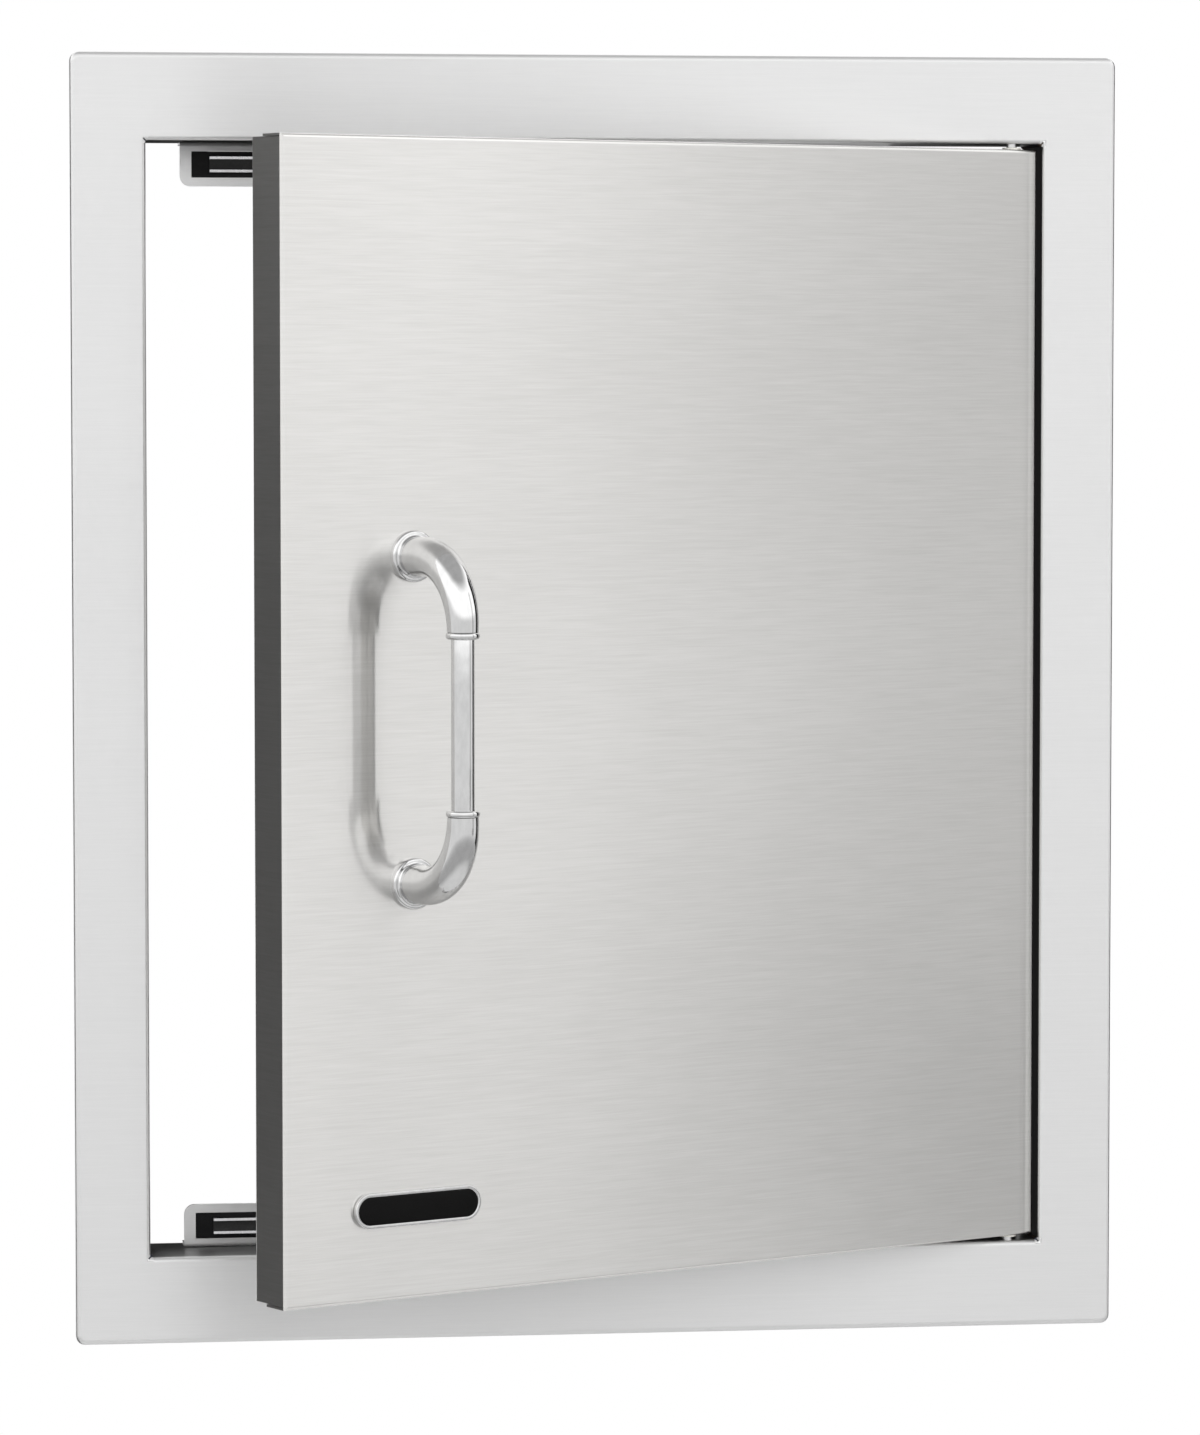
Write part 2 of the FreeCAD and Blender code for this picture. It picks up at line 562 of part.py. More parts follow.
def write(node, solids, swings=False):
    """Write a node's solids to its file, swung to the resting angle if it rides on the door."""
    group = []
    for solid in solids:
        solid = solid.Solids[0] if len(solid.Solids) == 1 else solid
        if swings:
            solid = solid.copy()
            solid.rotate(Vector(PIVOT_X, PIVOT_Y, 0), Z_AXIS, AJAR_ANGLE)
        if not solid.isValid():
            print("not valid:", node)
        group.append(solid)
    shape = group[0] if len(group) == 1 else Part.makeCompound(group)
    shape.exportStep("parts/" + node + ".step")
    print(node, len(shape.Solids), "solids", round(shape.Volume), "cubic mm")


def write_pair(name, top, swings=False):
    """Write a top piece and its mirrored twin as two nodes."""
    write(name + "_top", top, swings)
    write(name + "_bottom", [upside_down(solid) for solid in top], swings)


def main():
    """Make every piece and write it."""
    os.makedirs("parts", exist_ok=True)
    write("door_frame", [door_frame()])
    write_pair("hinge_pin", [hinge_pin()])
    write("hinge_nuts", both_ends(hinge_nut()))
    write_pair("catch_bracket", [catch_bracket()])
    write_pair("catch_housing", [catch_housing()])
    write_pair("catch_magnet", [catch_magnet()])
    write_pair("catch_poles", catch_poles())
    screws = catch_screws()
    write("catch_screws", screws + [upside_down(screw) for screw in screws])

    write("door_skin", [door_skin()], swings=True)
    write("door_liner", [door_liner()], swings=True)
    write_pair("hinge_bush", [hinge_bush()], swings=True)
    write("handle_elbows", both_ends(handle_elbow()), swings=True)
    write("handle_bar", [handle_bar()], swings=True)
    write("handle_screws", both_ends(handle_screw()), swings=True)
    write_pair("strike_plate", [strike_plate()], swings=True)


main()
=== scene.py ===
"""Looks of a framed stainless access door for an outdoor kitchen island."""
import json
import logging
import math
from collections.abc import Callable, Iterator, Sequence
from dataclasses import dataclass, field
from enum import Enum

import bmesh
import bpy
from bpy.types import Material, Object
from mathutils import Matrix, Vector

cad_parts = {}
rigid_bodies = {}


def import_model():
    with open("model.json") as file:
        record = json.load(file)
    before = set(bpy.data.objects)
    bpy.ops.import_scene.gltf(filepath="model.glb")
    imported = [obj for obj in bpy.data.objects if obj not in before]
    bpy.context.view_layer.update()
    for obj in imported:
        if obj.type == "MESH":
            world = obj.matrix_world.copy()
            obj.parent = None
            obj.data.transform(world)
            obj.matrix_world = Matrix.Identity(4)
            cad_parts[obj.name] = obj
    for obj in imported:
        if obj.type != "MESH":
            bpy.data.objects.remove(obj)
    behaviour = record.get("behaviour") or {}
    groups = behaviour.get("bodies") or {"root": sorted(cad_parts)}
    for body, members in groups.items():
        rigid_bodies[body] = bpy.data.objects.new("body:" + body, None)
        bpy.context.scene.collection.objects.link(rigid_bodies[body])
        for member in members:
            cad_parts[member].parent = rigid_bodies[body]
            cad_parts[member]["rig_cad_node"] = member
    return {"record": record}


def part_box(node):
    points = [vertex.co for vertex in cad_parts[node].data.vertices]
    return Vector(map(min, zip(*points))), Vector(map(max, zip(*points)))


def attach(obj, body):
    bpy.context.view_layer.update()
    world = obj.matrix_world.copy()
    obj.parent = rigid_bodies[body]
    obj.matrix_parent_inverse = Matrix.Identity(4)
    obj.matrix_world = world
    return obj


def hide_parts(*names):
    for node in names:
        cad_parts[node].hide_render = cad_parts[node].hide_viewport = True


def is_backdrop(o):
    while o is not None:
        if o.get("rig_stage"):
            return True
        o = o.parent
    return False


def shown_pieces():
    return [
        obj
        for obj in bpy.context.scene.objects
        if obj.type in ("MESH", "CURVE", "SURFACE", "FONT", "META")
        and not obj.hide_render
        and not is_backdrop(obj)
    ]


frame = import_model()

Pair = tuple[float, float]
Triple = tuple[float, float, float]

log = logging.getLogger("access_door")
DOOR_SWING = frame["record"]["behaviour"]["joints"][0]
QUARTER_TURN = math.pi / 2
# The clearance of nested pieces, and how near two places count as one, in metres.
FIT = 0.00005
TOUCH = 1e-6


class Body(Enum):
    """The two rigid bodies of the door."""

    FRAME = "frame"
    DOOR = "door"


class Slot(Enum):
    """Names of some of the record's material slots; nothing here gives a piece its finish from them."""

    CHROME = "chrome"
    FASTENER_STEEL = "fastener_steel"
    BLACK_PLASTIC = "black_plastic"


class Fade(Enum):
    """The way in which a studio cloth thins out: along its own X axis, or away from its centre."""

    ACROSS = "X"
    OUTWARD = "distance"


class Signal:
    """One value in a material, on which Python's operators add Math nodes."""

    def __init__(self, graph: "Graph", socket: bpy.types.NodeSocket) -> None:
        """Wrap a socket.

        Args:
            graph: The material's graph, to which new nodes are added.
            socket: The output that carries the value.
        """
        self.graph = graph
        self.socket = socket

    def _math(self, operation: str, *values: "Signal | float") -> "Signal":
        """Add a Math node.

        Args:
            operation: The Math node's operation.
            values: Its inputs in order.

        Returns:
            The node's output.
        """
        return self.graph.node("ShaderNodeMath", {"operation": operation}, dict(enumerate(values)))

    def __add__(self, other: "Signal | float") -> "Signal":
        """Return the sum."""
        return self._math("ADD", self, other)

    def __radd__(self, other: float) -> "Signal":
        """Return the sum with a number on the left."""
        return self._math("ADD", other, self)

    def __sub__(self, other: "Signal | float") -> "Signal":
        """Return the difference."""
        return self._math("SUBTRACT", self, other)

    def __rsub__(self, other: float) -> "Signal":
        """Return the difference from a number."""
        return self._math("SUBTRACT", other, self)

    def __mul__(self, other: "Signal | float") -> "Signal":
        """Return the product."""
        return self._math("MULTIPLY", self, other)

    def __rmul__(self, other: float) -> "Signal":
        """Return the product with a number on the left."""
        return self._math("MULTIPLY", other, self)

    def __abs__(self) -> "Signal":
        """Return the value without its sign."""
        return self._math("ABSOLUTE", self)

    def ramp(self, low: float, high: float) -> "Signal":
        """Rise smoothly from 0 at one value to 1 at another.

        Args:
            low: The value that gives 0.
            high: The value that gives 1, which may be the smaller.

        Returns:
            The smoothed step.
        """
        settings = {"interpolation_type": "SMOOTHSTEP"}
        inputs = {"Value": self, "From Min": low, "From Max": high}
        return self.graph.node("ShaderNodeMapRange", settings, inputs)


class Graph:
    """A node tree under construction."""

    def __init__(self, tree: bpy.types.NodeTree) -> None:
        """Empty a tree and keep it.

        Args:
            tree: The material's or world's node tree.
        """
        self.tree = tree
        tree.nodes.clear()

    def node(self, kind: str, settings: dict | None = None, inputs: dict | None = None,
             output: int | str = 0) -> Signal:
        """Add a node.

        Args:
            kind: The node's type.
            settings: Attributes of the node, which are set first.
            inputs: Values or signals by socket name or number.
            output: The output to return.

        Returns:
            The chosen output, or the first input of a node that has no output.
        """
        made = self.tree.nodes.new(kind)
        for name, value in (settings or {}).items():
            setattr(made, name, value)
        for name, value in (inputs or {}).items():
            if isinstance(value, Signal):
                self.tree.links.new(value.socket, made.inputs[name])
            else:
                made.inputs[name].default_value = value
        return Signal(self, made.outputs[output] if len(made.outputs) else made.inputs[0])

    def coordinates(self, turn: float = 0.0, stretch: Sequence[float] = (1.0, 1.0, 1.0)) -> Signal:
        """Return object coordinates, turned back by an angle about Z and then stretched.

        Args:
            turn: The angle by which the piece stands turned, in radians.
            stretch: The scale along each axis.

        Returns:
            The mapped coordinates.
        """
        place = self.node("ShaderNodeTexCoord", output="Object")
        if turn:
            place = self.node("ShaderNodeMapping", inputs={"Vector": place, "Rotation": (0, 0, -turn)})
        return self.node("ShaderNodeMapping", inputs={"Vector": place, "Scale": tuple(stretch)})

    def noise(self, place: Signal, scale: float = 1.0, detail: float = 2.0) -> Signal:
        """Return a noise value between 0 and 1.

        Args:
            place: The coordinates.
            scale: The noise's scale.
            detail: The number of octaves.

        Returns:
            The noise.
        """
        return self.node("ShaderNodeTexNoise", inputs={"Vector": place, "Scale": scale, "Detail": detail})

    def mix(self, amount: Signal, first: "Signal | Sequence[float]",
            second: "Signal | Sequence[float]") -> Signal:
        """Return a colour between two colours.

        Args:
            amount: 0 for the first, 1 for the second.
            first: A linear colour, or a signal that carries one.
            second: The other colour.

        Returns:
            The mixed colour.
        """
        colours = [colour if isinstance(colour, Signal) else (*colour, 1.0) for colour in (first, second)]
        inputs = {0: amount, 6: colours[0], 7: colours[1]}
        return self.node("ShaderNodeMix", {"data_type": "RGBA"}, inputs, output=2)

    def bump(self, height: Signal, strength: float, distance: float) -> Signal:
        """Return a normal disturbed by a height.

        Args:
            height: The height, between 0 and 1.
            strength: How much of it acts.
            distance: The depth that a height of 1 stands for, in metres.

        Returns:
            The normal.
        """
        return self.node("ShaderNodeBump", inputs={"Height": height, "Strength": strength,
                                                   "Distance": distance})


class Finish:
    """A surface finish that makes one procedural material."""

    def build(self, graph: Graph) -> Signal:
        """Add the finish's nodes to a graph and return its shader."""
        raise NotImplementedError

    def material(self, name: str) -> Material:
        """Make the material.

        Args:
            name: The material's name.

        Returns:
            The new material.
        """
        made = bpy.data.materials.new(name)
        made.use_nodes = True
        graph = Graph(made.node_tree)
        graph.node("ShaderNodeOutputMaterial", inputs={"Surface": self.build(graph)})
        return made


@dataclass(frozen=True)
class BrushedSteel(Finish):
    """Stainless sheet with a fine horizontal brush, as noises stretched along the brush; with a throat
    given, painted shade darkens the jamb's inner faces.
    """

    shade: float = 0.72
    warmth: float = 0.0
    roughness: float = 0.30
    fine_roughness: float = 0.12
    fine_share: float = 0.0
    grain_depth: float = 0.018
    scratch_depth: float = 0.00004
    hair_pitch: Triple = (60.0, 60.0, 2600.0)
    scratch_pitch: Triple = (40.0, 40.0, 9000.0)
    stroke_pitch: Triple = (24.0, 24.0, 700.0)
    cloud_pitch: Triple = (5.0, 5.0, 9.0)
    brush_normal: Triple = (0.02, 0.03, 1.0)
    turn: float = 0.0
    throat: Pair | None = None
    # Painted shade: the darker grey that the jamb's inner faces take inside the throat.
    painted_throat_shade: float = 0.21
    throat_edge: Pair = (0.0009, 0.0003)
    throat_depth: Pair = (-0.0045, -0.0015)

    def build(self, graph: Graph) -> Signal:
        """Add the brushed sheet's nodes.

        Args:
            graph: The material's graph.

        Returns:
            The shader.
        """
        hairs = graph.noise(graph.coordinates(self.turn, self.hair_pitch), detail=3.0)
        scratches = graph.noise(graph.coordinates(self.turn, self.scratch_pitch))
        strokes = graph.noise(graph.coordinates(self.turn, self.stroke_pitch))
        clouds = graph.noise(graph.coordinates(self.turn, self.cloud_pitch))
        grain = hairs * 0.55 + strokes * 0.45
        tone = grain * 0.7 + clouds * 0.3
        light, dark = self.shade + self.grain_depth, self.shade - self.grain_depth
        colour = graph.mix(tone.ramp(0.25, 0.75), self._tint(dark), self._tint(light))
        # Painted shade: inside the throat the jamb's inner faces turn a darker grey, as if in shadow.
        if self.throat:
            colour = graph.mix(self._painted_shade_mask(graph), colour, self._tint(self.painted_throat_shade))
        normal = graph.bump(scratches * 0.8 + grain * 0.2, 1.0, self.scratch_depth)
        along = graph.node("ShaderNodeCombineXYZ", inputs=dict(zip("XYZ", self.brush_normal)))
        sheet = {"Base Color": colour, "Metallic": 1.0, "Anisotropic": 1.0, "Tangent": along}
        coarse = graph.node("ShaderNodeBsdfPrincipled", inputs=sheet | {
            "Roughness": self.roughness - 0.04 + grain * 0.08, "Normal": normal})
        if not self.fine_share:
            return coarse
        fine = graph.node("ShaderNodeBsdfPrincipled", inputs=sheet | {
            "Roughness": self.fine_roughness - 0.02 + grain * 0.04})
        return graph.node("ShaderNodeMixShader", inputs={0: self.fine_share, 1: coarse, 2: fine})

    def _tint(self, value: float) -> Triple:
        """Return a grey with the sheet's slight warmth."""
        return (value, value - self.warmth * 0.3, value - self.warmth)

    def _painted_shade_mask(self, graph: Graph) -> Signal:
        """Return 1 on the inner faces of the jamb, which take a darker grey as painted shade.

        Args:
            graph: The material's graph.

        Returns:
            The mask.
        """
        place = graph.coordinates()
        x, y, z = (graph.node("ShaderNodeSeparateXYZ", inputs={0: place}, output=axis) for axis in "XYZ")
        across, upright = (abs(axis).ramp(*(half + edge for edge in self.throat_edge))
                           for axis, half in zip((x, z), self.throat))
        return across * upright * y.ramp(*self.throat_depth)


@dataclass(frozen=True)
class PolishedChrome(Finish):
    """Bright plating over a cast and polished part, with faint ripples and wipe marks."""

    shade: float = 0.61
    roughness: float = 0.08
    ripple: float = 0.20
    ripple_depth: float = 0.0006

    def build(self, graph: Graph) -> Signal:
        """Add the plated part's nodes.

        Args:
            graph: The material's graph.

        Returns:
            The shader.
        """
        swell = graph.noise(graph.coordinates(), scale=95.0, detail=1.0)
        wipes = graph.noise(graph.coordinates(stretch=(1.0, 1.0, 0.35)), scale=420.0, detail=3.0)
        colour = graph.mix(wipes.ramp(0.3, 0.7), (self.shade - 0.03,) * 3, (self.shade + 0.02,) * 3)
        roughness = self.roughness + wipes.ramp(0.45, 0.8) * 0.03
        normal = graph.bump(swell, self.ripple, self.ripple_depth)
        return graph.node("ShaderNodeBsdfPrincipled", inputs={
            "Base Color": colour, "Metallic": 1.0, "Roughness": roughness, "Normal": normal})


@dataclass(frozen=True)
class PlatedSteel(Finish):
    """Plain or zinc-plated steel of small parts, with a fine crystalline bloom."""

    shade: float = 0.66
    blue: float = 0.0
    roughness: float = 0.30
    bloom_depth: float = 0.00008

    def build(self, graph: Graph) -> Signal:
        """Add the small part's nodes.

        Args:
            graph: The material's graph.

        Returns:
            The shader.
        """
        bloom = graph.noise(graph.coordinates(), scale=900.0, detail=3.0)
        stains = graph.noise(graph.coordinates(), scale=140.0)
        tone = (bloom * 0.6 + stains * 0.4).ramp(0.3, 0.7)
        low, high = self.shade - 0.06, self.shade + 0.04
        colour = graph.mix(tone, (low, low, low + self.blue), (high, high, high + self.blue))
        roughness = self.roughness - 0.06 + stains * 0.12
        return graph.node("ShaderNodeBsdfPrincipled", inputs={
            "Base Color": colour, "Metallic": 1.0, "Roughness": roughness,
            "Normal": graph.bump(bloom, 0.05, self.bloom_depth)})


@dataclass(frozen=True)
class MouldedPlastic(Finish):
    """Moulded plastic with a fine spark-eroded texture."""

    colour: Triple = (0.006, 0.006, 0.0065)
    roughness: float = 0.42
    gloss: float = 0.09
    pit_depth: float = 0.00012

    def build(self, graph: Graph) -> Signal:
        """Add the moulding's nodes.

        Args:
            graph: The material's graph.

        Returns:
            The shader.
        """
        pits = graph.noise(graph.coordinates(), scale=2600.0)
        flow = graph.noise(graph.coordinates(stretch=(1.0, 3.0, 3.0)), scale=60.0)
        lighter = tuple(channel * 1.5 + 0.004 for channel in self.colour)
        colour = graph.mix((pits * 0.5 + flow * 0.5).ramp(0.3, 0.75), self.colour, lighter)
        roughness = self.roughness - 0.05 + flow * 0.1
        return graph.node("ShaderNodeBsdfPrincipled", inputs={
            "Base Color": colour, "Roughness": roughness, "Specular IOR Level": self.gloss,
            "Normal": graph.bump(pits, 0.3, self.pit_depth)})


@dataclass(frozen=True)
class SinteredFerrite(Finish):
    """The dull dark grey of a pressed ferrite magnet."""

    shade: float = 0.022
    roughness: float = 0.6
    gloss: float = 0.25
    grit_depth: float = 0.00015

    def build(self, graph: Graph) -> Signal:
        """Add the magnet's nodes.

        Args:
            graph: The material's graph.

        Returns:
            The shader.
        """
        grit = graph.noise(graph.coordinates(), scale=1800.0, detail=4.0)
        rub = graph.noise(graph.coordinates(stretch=(0.2, 1.0, 1.0)), scale=700.0, detail=1.0)
        tone = (grit * 0.6 + rub * 0.4).ramp(0.3, 0.7)
        low, high = (self.shade * 0.8,) * 3, (self.shade * 1.4,) * 3
        return graph.node("ShaderNodeBsdfPrincipled", inputs={
            "Base Color": graph.mix(tone, low, high), "Roughness": self.roughness - 0.1 + rub * 0.2,
            "Specular IOR Level": self.gloss, "Normal": graph.bump(grit, 0.35, self.grit_depth)})


@dataclass(frozen=True)
class BadgeEnamel(Finish):
    """Black enamel poured into the badge, glossy with a trace of orange peel."""

    shade: float = 0.003
    roughness: float = 0.16
    gloss: float = 0.08
    peel_depth: float = 0.0003

    def build(self, graph: Graph) -> Signal:
        """Add the enamel's nodes.

        Args:
            graph: The material's graph.

        Returns:
            The shader.
        """
        peel = graph.noise(graph.coordinates(), scale=700.0, detail=1.0)
        dust = graph.noise(graph.coordinates(), scale=3000.0)
        low, high = (self.shade,) * 3, (self.shade * 2.2,) * 3
        return graph.node("ShaderNodeBsdfPrincipled", inputs={
            "Base Color": graph.mix(dust.ramp(0.5, 0.8), low, high), "Specular IOR Level": self.gloss,
            "Roughness": self.roughness + dust.ramp(0.4, 0.9) * 0.12,
            "Normal": graph.bump(peel, 0.06, self.peel_depth)})


@dataclass(frozen=True)
class PaleFloor(Finish):
    """A pale matte floor near the object, which passes into plain white further off."""

    shade: float = 0.88
    near: float = 0.9
    far: float = 1.5

    def build(self, graph: Graph) -> Signal:
        """Add the floor's nodes.

        Args:
            graph: The material's graph.

        Returns:
            The shader.
        """
        place = graph.coordinates()
        speckle = graph.noise(place, scale=60.0, detail=3.0)
        distance = graph.node("ShaderNodeVectorMath", {"operation": "LENGTH"}, {0: place}, output="Value")
        paint = graph.node("ShaderNodeBsdfDiffuse", inputs={
            "Color": graph.mix(speckle, (self.shade - 0.01,) * 3, (self.shade + 0.01,) * 3)})
        white = graph.node("ShaderNodeEmission", inputs={"Color": (1, 1, 1, 1)})
        return graph.node("ShaderNodeMixShader", inputs={0: distance.ramp(self.near, self.far),
                                                         1: paint, 2: white})


@dataclass(frozen=True)
class WeldScaleAndShade(Finish):
    """The blue-brown scale on an unpolished weld bead, made darker still as painted shade for the relief
    hole in front of it.
    """

    shade: float = 0.07
    roughness: float = 0.45
    soot_depth: float = 0.0001

    def build(self, graph: Graph) -> Signal:
        """Add the weld's nodes.

        Args:
            graph: The material's graph.

        Returns:
            The shader.
        """
        tint = graph.noise(graph.coordinates(stretch=(1.0, 0.6, 1.0)), scale=260.0)
        soot = graph.noise(graph.coordinates(), scale=1500.0, detail=3.0)
        brown = (self.shade * 1.5, self.shade * 1.1, self.shade * 0.8)
        blue = (self.shade * 0.7, self.shade * 0.8, self.shade * 1.1)
        return graph.node("ShaderNodeBsdfPrincipled", inputs={
            "Base Color": graph.mix(tint.ramp(0.35, 0.65), brown, blue), "Metallic": 1.0,
            "Roughness": self.roughness + soot * 0.2, "Normal": graph.bump(soot, 0.4, self.soot_depth)})


@dataclass(frozen=True)
class StudioCloth(Finish):
    """Cloth with an even tone, whose cover may change from one place to another.

    An OUTWARD cloth also thins out to nothing towards its rim.
    """

    tone: float
    start: float = 1.0
    end: float = 1.0
    fade_from: float = -0.5
    fade_to: float = 0.5
    fade: Fade = Fade.ACROSS
    rim_from: float = 0.2
    rim_to: float = 0.5

    def build(self, graph: Graph) -> Signal:
        """Add the cloth's nodes.

        Args:
            graph: The material's graph.

        Returns:
            The shader.
        """
        place = graph.node("ShaderNodeTexCoord", output="Object")
        if self.fade is Fade.OUTWARD:
            along = graph.node("ShaderNodeVectorMath", {"operation": "LENGTH"}, {0: place}, output="Value")
        else:
            along = graph.node("ShaderNodeSeparateXYZ", inputs={0: place}, output=self.fade.value)
        cover = self.start + along.ramp(self.fade_from, self.fade_to) * (self.end - self.start)
        if self.fade is Fade.OUTWARD:
            cover = cover * along.ramp(self.rim_to, self.rim_from)
        weave = graph.node("ShaderNodeEmission", inputs={"Color": (self.tone,) * 3 + (1,)})
        air = graph.node("ShaderNodeBsdfTransparent")
        return graph.node("ShaderNodeMixShader", inputs={0: cover, 1: air, 2: weave})


class Bench:
    """Blender's modelling operators, gathered as a workbench for one piece at a time."""

    SHARP = 35.0

    @staticmethod
    def clear() -> None:
        """Deselect everything."""
        bpy.ops.object.select_all(action="DESELECT")

    @staticmethod
    def hold(obj: Object) -> None:
        """Select one piece alone and make it active."""
        Bench.clear()
        bpy.context.view_layer.objects.active = obj
        obj.select_set(True)

    @staticmethod
    def start(name: str) -> Object:
        """Put a new primitive's place in its mesh, name it and return it."""
        bpy.ops.object.transform_apply(location=True, rotation=True, scale=True)
        bpy.context.object.name = name
        return bpy.context.object

    @staticmethod
    def edit() -> None:
        """Go into edit mode on the active object."""
        bpy.ops.object.mode_set(mode="EDIT")

    @staticmethod
    def leave() -> Object:
        """Return to object mode and give the active object."""
        bpy.ops.object.mode_set(mode="OBJECT")
        return bpy.context.object

    @staticmethod
    def pick(mode: str, test: Callable[[Vector], bool]) -> None:
        """Select vertices or faces in edit mode by their place.

        Args:
            mode: VERT or FACE.
            test: Says from a vertex's place or a face's centre whether it is selected.
        """
        bpy.ops.mesh.select_mode(type=mode)
        bpy.ops.mesh.select_all(action="DESELECT")
        mesh = bmesh.from_edit_mesh(bpy.context.object.data)
        for part in mesh.verts if mode == "VERT" else mesh.faces:
            part.select = test(part.co if mode == "VERT" else part.calc_center_median())
        mesh.select_flush_mode()
        bmesh.update_edit_mesh(bpy.context.object.data)

    @staticmethod
    def slide(by: Sequence[float]) -> None:
        """Move the selection.

        Args:
            by: The displacement.
        """
        bpy.ops.transform.translate(value=tuple(by))

    @staticmethod
    def pull(by: Sequence[float]) -> None:
        """Extrude the selection.

        Args:
            by: The displacement.
        """
        bpy.ops.mesh.extrude_region_move(TRANSFORM_OT_translate={"value": tuple(by)})

    @staticmethod
    def round_edges(obj: Object, width: float, segments: int = 3) -> None:
        """Bevel a piece's sharp edges with a modifier and apply it.

        Args:
            obj: The piece.
            width: The bevel's width.
            segments: The number of steps in the round.
        """
        bevel = obj.modifiers.new("rounding", "BEVEL")
        bevel.width = width
        bevel.segments = segments
        bevel.limit_method = "ANGLE"
        bevel.angle_limit = math.radians(Bench.SHARP)
        bpy.ops.object.modifier_apply(modifier=bevel.name)

    @staticmethod
    def carve(obj: Object, cutter: Object) -> None:
        """Cut one piece from another and delete the cutter.

        Args:
            obj: The piece that is cut.
            cutter: The piece that cuts.
        """
        cut = obj.modifiers.new("cut", "BOOLEAN")
        cut.operation = "DIFFERENCE"
        cut.object = cutter
        Bench.hold(obj)
        bpy.ops.object.modifier_apply(modifier=cut.name)
        bpy.data.objects.remove(cutter)

    @staticmethod
    def mend_normals() -> None:
        """In edit mode, merge doubles and turn all faces outwards."""
        bpy.ops.mesh.select_all(action="SELECT")
        bpy.ops.mesh.remove_doubles(threshold=TOUCH)
        bpy.ops.mesh.normals_make_consistent(inside=False)

    @staticmethod
    def settle(obj: Object, place: Matrix) -> None:
        """Put a finished piece in its place, with the place in its mesh.

        Args:
            obj: The piece.
            place: The transform from where it was modelled.
        """
        Bench.hold(obj)
        obj.matrix_world = place @ obj.matrix_world
        bpy.ops.object.transform_apply(location=True, rotation=True, scale=True)

    @staticmethod
    def twin(obj: Object, name: str, place: Matrix) -> Object:
        """Copy a piece with its own mesh and put the copy elsewhere.

        Args:
            obj: The piece.
            name: The copy's name.
            place: The transform from the piece to the copy.

        Returns:
            The copy.
        """
        Bench.hold(obj)
        bpy.ops.object.duplicate(linked=False)
        copy = bpy.context.object
        copy.name = name
        Bench.settle(copy, place)
        if place.determinant() < 0:
            Bench.edit()
            Bench.mend_normals()
            Bench.leave()
        return copy

    @staticmethod
    def dress(obj: Object, material: Material, smooth: float = SHARP) -> None:
        """Give a new piece its material and smooth shading.

        Args:
            obj: The piece.
            material: Its finish.
            smooth: The angle in degrees past which an edge stays sharp.
        """
        obj.data.materials.clear()
        obj.data.materials.append(material)
        Bench.hold(obj)
        bpy.ops.object.shade_smooth_by_angle(angle=math.radians(smooth))


def hand_over(piece: Object, body: Body, node: str | None = None) -> None:
    """Args:
        piece: The piece.
        body: The body that it rides on.
        node: The plain solid that it replaces.
    """
    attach(piece, body.value)
    if node:
        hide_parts(node)
    log.info("%s: %d faces", piece.name, len(piece.data.polygons))


@dataclass
class Opening:
    """The opening in the frame, inside its face flange."""

    side_flange: float = 0.0324
    end_flange: float = 0.0376

    def half_size(self) -> Pair:
        """Return half of the opening's width and half of its height."""
        corner = Vector(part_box("door_frame")[1])
        return corner.x - self.side_flange, corner.z - self.end_flange


@dataclass
class DoorPose:
    """Where the door stands at rest: shut, then swung open about its pivots."""

    pivot: Vector = field(default_factory=lambda: Vector(DOOR_SWING["pos_m"]))
    ajar: float = math.radians(-DOOR_SWING["range_deg"][0])
    face_y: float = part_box("door_frame")[0][1]

    def swing(self) -> Matrix:
        """Return the transform from the shut door to the door at rest."""
        turn = Matrix.Rotation(self.ajar, 4, "Z")
        return Matrix.Translation(self.pivot) @ turn @ Matrix.Translation(-self.pivot)


@dataclass(frozen=True)
class Ring:
    """One round section of an elbow, in the plane across the door's face."""

    out: float
    up: float
    turn: float
    radius: float


